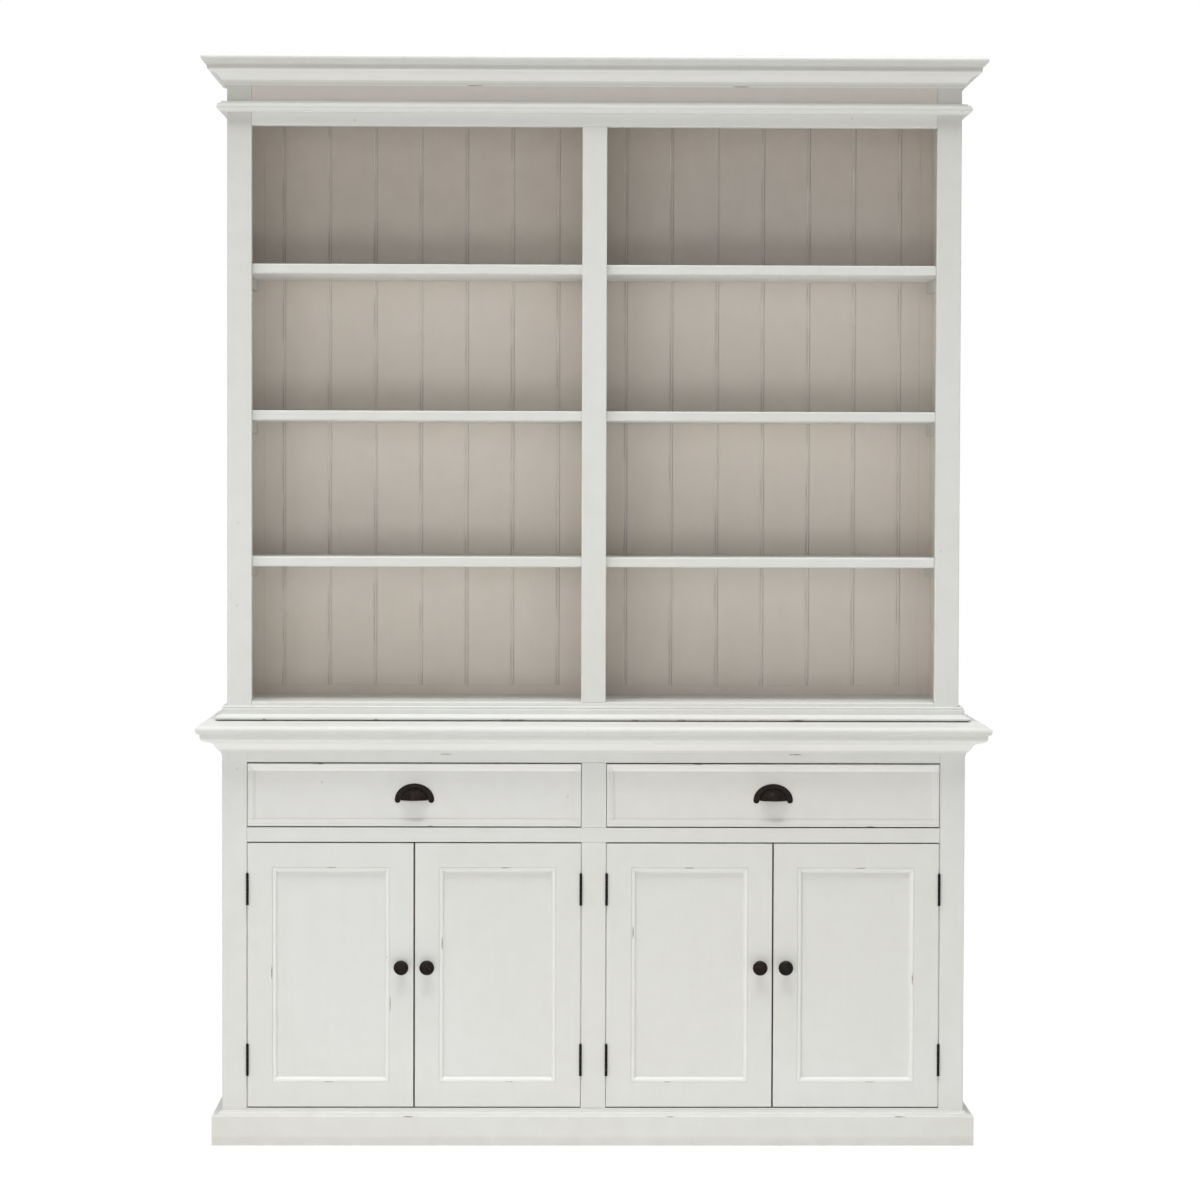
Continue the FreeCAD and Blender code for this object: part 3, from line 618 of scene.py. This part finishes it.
plinth_rubs = [(-0.370, 0.0585, 0.018, 0.0014), (0.155, 0.0585, 0.011, 0.0010),
               (0.620, 0.0585, 0.014, 0.0014)]
base_moulding_rubs = [(-0.672, 0.8530, 0.006, 0.0018), (-0.445, 0.8530, 0.006, 0.0018),
                      (-0.165, 0.8530, 0.030, 0.0018), (0.085, 0.8530, 0.008, 0.0018),
                      (0.180, 0.8530, 0.010, 0.0018), (0.415, 0.8530, 0.020, 0.0018)]

# Filled nail heads seen in the photograph: X and Z
upright_nails = [(-0.720, 0.760), (-0.730, 1.085), (-0.728, 1.255), (0.625, 1.170), (0.712, 1.200)]
drawer_nails = {"drawer_left": [(-0.549, 0.7330), (-0.0535, 0.7045)], "drawer_right": []}
rail_nails = [(-0.490, 2.076), (0.525, 2.084)]

# Strips of painted light and shade: lowest and highest Z, softness of their edges, share of the other tone,
# that tone
# Painted light on the crown's cove, painted shade on its fascia and in a thin line at its foot
crown_bands = [(2.1560, 2.1760, 0.002, 0.62, painted_light_tone), (2.1780, 2.1850, 0.002, 0.24, painted_shade_tone),
               (2.1490, 2.1508, 0.0007, 0.22, painted_shade_tone)]
# Painted light on the bead
frieze_bead_bands = [(2.0930, 2.0990, 0.0012, 0.60, painted_light_tone)]
# Painted light on the rail under the bead, painted shade on the frieze under the crown
top_rail_bands = [(2.0500, 2.0910, 0.002, 0.24, painted_light_tone), (2.1150, 2.2000, 0.003, 0.30, frieze_painted_shade_tone)]
# Painted light on the counter moulding's cove
counter_moulding_bands = [(0.7990, 0.8215, 0.002, 0.45, painted_light_tone)]
# Painted shadow of the gap above the counter
base_moulding_bands = [(0.8400, 0.8524, 0.0006, 0.90, gap_shadow)]
# Painted shade, darker towards the floor
plinth_bands = [(-0.010, 0.0700, 0.002, 0.04, painted_shade_tone), (-0.010, 0.0180, 0.004, 0.10, painted_shade_tone)]
# Painted light along the shelf edges
shelf_bands = [(z - 0.002, z + 0.0005, 0.0005, 0.80, painted_light_tone) for z in (1.165, 1.465, 1.765)]
# Painted shade, darker towards the top of the hutch stiles
upright_bands = [(1.800, 3.500, 0.800, 0.14, painted_shade_tone)]
# Painted shade on the back boards of the top bay
back_bands = [(1.850, 3.000, 0.200, 0.18, back_painted_shade_tone)]
# Painted light on the upper drawer moulding, painted shade lines in the lower creases
drawer_moulding_bands = [(0.7560, 0.7690, 0.0015, 0.50, painted_light_tone), (0.6492, 0.6502, 0.0005, 0.14, painted_shade_tone),
                         (0.6592, 0.6602, 0.0005, 0.30, painted_shade_tone)]

# The painted mouldings: their rubs and their bands of painted light and shade
moulding_marks = [
    ("crown_moulding", crown_rubs, crown_bands),
    ("frieze_bead", (), frieze_bead_bands),
    ("hutch_base_moulding", base_moulding_rubs, base_moulding_bands),
    ("counter_moulding", counter_moulding_rubs, counter_moulding_bands),
    ("plinth", plinth_rubs, plinth_bands),
]


# The pieces

def dress_cabinet():
    """Everything that stands still: hutch, base, shelves, mouldings, back and insides."""
    inner_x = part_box("base_stile_right")[0].x
    mid_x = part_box("base_mid_stiles")[1].x
    opening_edges = (-inner_x, -mid_x, mid_x, inner_x)
    shaded_upright = painted("white_paint_upright", paint_tone, "Z", nails=upright_nails, bands=upright_bands)
    # The base uprights get painted light on the edges beside the openings
    upright = painted("white_paint_base_upright", paint_tone, "Z", nails=upright_nails,
                      lit_edges=opening_edges)
    level = painted("white_paint_level", paint_tone, "X")
    for node in ("hutch_stile_left", "hutch_stile_right"):
        eased(node, shaded_upright)
    for node in ("hutch_mullion", "base_side_left", "base_side_right", "base_stile_left",
                 "base_stile_right", "base_mid_stiles"):
        eased(node, upright)
    side_paint = painted("white_paint_sides", side_tone, "Z")
    for node in ("hutch_side_left", "hutch_side_right", "hutch_partition"):
        eased(node, side_paint)
    eased("hutch_top_rail",
          painted("white_paint_top_rail", paint_tone, "X", nails=rail_nails, bands=top_rail_bands))
    eased("hutch_shelves",
          painted("white_paint_shelves", paint_tone, "X", bands=shelf_bands))
    for node in ("hutch_top", "hutch_bottom", "hutch_bottom_rail",
                 "base_top_rail", "base_mid_rail", "base_bottom_rail", "counter_top"):
        eased(node, level)
    eased("shelf_cleats", painted("white_paint_deep", paint_tone, "Y"))
    for node, rubs, bands in moulding_marks:
        paint = painted("white_paint_" + node, paint_tone, "X", rubs, bands=bands)
        eased(node, paint, moulding_round)
    groove_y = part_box("hutch_back_boards")[0].y
    beaded = painted("back_board_paint", back_tone, "Z", bands=back_bands, groove_y=groove_y)
    eased("hutch_back_boards", beaded, bead_round, bead_degrees)
    eased("hutch_back_frame", painted("back_frame_paint", back_tone, "Z", bands=back_bands))
    pine = bare_pine("pine_along_x", "X")
    for node in ("base_bottom", "base_back", "dust_boards", "cupboard_shelves"):
        eased(node, pine)
    for node in ("base_partition", "drawer_guides"):
        eased(node, bare_pine("pine_of_" + node, "Y"))
    eased("door_catches", moulded_plastic("catch_plastic"))


def dress_drawers(bronze):
    """The two drawers, whose fronts and edge mouldings reach a little into the side gaps."""
    box_wood = bare_pine("drawer_box_pine", "XY")
    for drawer in drawer_names:
        rubs, nails = drawer_rubs[drawer], drawer_nails[drawer]
        # Drawer fronts in a lighter copy of the paint as painted light; the edge moulding adds painted light
        # and shade
        paint = painted("white_paint_" + drawer, drawer_tone, "X", rubs, nails)
        edge_paint = painted("white_paint_edge_" + drawer, drawer_tone, "X", rubs,
                             bands=drawer_moulding_bands)
        low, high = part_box(drawer + "_front")
        sides = [(low.x, low.x - edge_growth), (high.x, high.x + edge_growth)]
        eased(drawer + "_front", paint, moves=sides)
        eased(drawer + "_moulding", edge_paint, moulding_round, moves=sides)
        eased(drawer + "_box", box_wood)
        cup_pull(drawer, bronze)


def dress_doors(bronze, steel):
    """The four doors with knobs and hinges; each hinge has leaves on its door and on the cabinet."""
    frame_leaves = []
    for joint in door_joints:
        door = joint["child"]
        pin_x = joint["pos_m"][0]
        low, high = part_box(door + "_frame")
        low_z, high_z = low.z + door_flat_bottom, high.z - door_flat_top
        middle_x = (low.x + high.x) / 2
        ring = (middle_x, (low_z + high_z) / 2, (high.x - low.x) / 2 - door_flat_side,
                (high_z - low_z) / 2, sticking_width)
        meeting_x, hinged_x = (low.x, high.x) if pin_x > middle_x else (high.x, low.x)
        grown_x = hinged_x + math.copysign(edge_growth, pin_x - hinged_x)
        # Painted light on the sticking and the hinge edge, painted shadow on the meeting edge
        paint = painted("white_paint_" + door, paint_tone, "Z", door_rubs[door], rings=[ring],
                        dark_edges=[meeting_x], lit_edges=[grown_x])
        seams = (low.x + door_flat_side, high.x - door_flat_side)
        spans = [(low.z + drawn_arris, low_z - seam_end), (high_z + seam_end, high.z - drawn_arris)]
        eased(door + "_frame", paint, seams=seams, spans=spans,
              moves=[(hinged_x, grown_x)])
        eased(door + "_panel", paint)
        knob(door, bronze)
        low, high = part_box(door + "_hinge_leaves")
        side = 1 if (low.x + high.x) / 2 > pin_x else -1
        middles = (low.z + hinge_length / 2, high.z - hinge_length / 2)
        hinge_leaves(door + "_hinge_leaves_finished", door, pin_x, side, middles, door_knuckles,
                     [door + "_hinge_leaves"], steel)
        frame_leaves.append((door, pin_x, -side, middles))
    for door, pin_x, side, middles in frame_leaves:
        hinge_leaves(door + "_frame_leaves_finished", "cabinet", pin_x, side, middles, frame_knuckles,
                     ["frame_hinge_leaves"], steel)


# Floor, light and camera

floor_half = 40
floor_glow = 1.06
floor_glow_share = 0.93
surround_strength = 0.18
hutch_middle = (0, 0, 1.2)


def stage():
    """A pale floor that carries the object's shadow, and a white surround."""
    bm = bmesh.new()
    bmesh.ops.create_grid(bm, x_segments=1, y_segments=1, size=floor_half)
    mesh = bpy.data.meshes.new("floor")
    bm.to_mesh(mesh)
    bm.free()
    floor = bpy.data.objects.new("floor", mesh)
    bpy.context.scene.collection.objects.link(floor)
    finish = Finish("pale_floor")
    reach = finish.node("ShaderNodeVectorMath", {"operation": "LENGTH"}, {0: finish.place}, output="Value")
    sweep = finish.blend(reach.rise(2.2, 5.0), *floor_tones)
    finish.surface(Base_Color=sweep, Roughness=0.8, Specular_IOR_Level=0.2)
    seen = finish.node("ShaderNodeLightPath", output="Is Camera Ray")
    mirrored = finish.node("ShaderNodeLightPath", output="Is Glossy Ray")
    white = finish.node("ShaderNodeEmission", inputs={"Color": (1, 1, 1, 1), "Strength": floor_glow})
    glow = seen.maths("MAXIMUM", seen, mirrored) * floor_glow_share
    mixed = finish.node("ShaderNodeMixShader", inputs={0: glow})
    finish.tree.links.new(finish.shader.outputs[0], mixed.socket.node.inputs[1])
    finish.tree.links.new(white.socket, mixed.socket.node.inputs[2])
    finish.tree.links.new(mixed.socket, finish.tree.nodes["Material Output"].inputs[0])
    mesh.materials.append(finish.material)


def surround(strength):
    """Even light from all round; the camera and mirrors see plain white."""
    world = bpy.data.worlds.new("studio")
    bpy.context.scene.world = world
    world.use_nodes = True
    nodes, links = world.node_tree.nodes, world.node_tree.links
    path = nodes.new("ShaderNodeLightPath")
    direct = nodes.new("ShaderNodeMath")
    direct.operation = "MAXIMUM"
    links.new(path.outputs["Is Camera Ray"], direct.inputs[0])
    links.new(path.outputs["Is Glossy Ray"], direct.inputs[1])
    level = nodes.new("ShaderNodeMapRange")
    level.inputs["To Min"].default_value = strength
    level.inputs["To Max"].default_value = 1.0
    links.new(direct.outputs[0], level.inputs["Value"])
    background = nodes["Background"]
    background.inputs["Color"].default_value = (1, 1, 1, 1)
    links.new(level.outputs[0], background.inputs["Strength"])


def softbox(name, place, aim, size, power):
    """A large rectangular lamp that faces the point aimed at."""
    light = bpy.data.lights.new(name, "AREA")
    light.shape = "RECTANGLE"
    light.size, light.size_y = size
    light.energy = power
    lamp = bpy.data.objects.new(name, light)
    bpy.context.scene.collection.objects.link(lamp)
    lamp.location = place
    lamp.rotation_mode = "QUATERNION"
    lamp.rotation_quaternion = (Vector(aim) - Vector(place)).to_track_quat("-Z", "Y")


def camera():
    """The photograph's view: a long lens level with the upper shelves, turned a little to the right."""
    eye = Vector((-0.1076, -7.8, 1.3494))
    turn_right, tilt_down, roll = 0.0156, 0.03248, -0.00298
    image_width, focal_pixels = 1200, 3771.5
    data = bpy.data.cameras.new("camera")
    data.sensor_width = 36
    data.lens = data.sensor_width * focal_pixels / image_width
    data.clip_end = 100
    view = bpy.data.objects.new("camera", data)
    bpy.context.scene.collection.objects.link(view)
    turned = (Matrix.Rotation(-turn_right, 4, "Z") @ Matrix.Rotation(math.pi / 2 - tilt_down, 4, "X")
              @ Matrix.Rotation(-roll, 4, "Z"))
    view.matrix_world = Matrix.Translation(eye) @ turned
    bpy.context.scene.camera = view


camera()
stage()
surround(surround_strength)
softbox("ceiling_softbox", (-0.6, -2.3, 8.0), (-0.6, -2.3, 0), (5.0, 4.0), 555)
softbox("front_softbox", (-1.0, -7.5, 1.9), hutch_middle, (4.0, 2.0), 60)
softbox("low_front_softbox", (-0.4, -4.8, 0.5), hutch_middle, (5.0, 0.9), 36)
softbox("left_softbox", (-5.0, -4.0, 2.2), hutch_middle, (2.5, 2.5), 19)
bronze = dark_bronze("dark_bronze", *bronze_tones, 0.35)
steel = dark_bronze("hinge_steel", *steel_tones, 0.2)
dress_cabinet()
dress_drawers(bronze)
dress_doors(bronze, steel)

bpy.context.scene.view_settings.view_transform = "Standard"
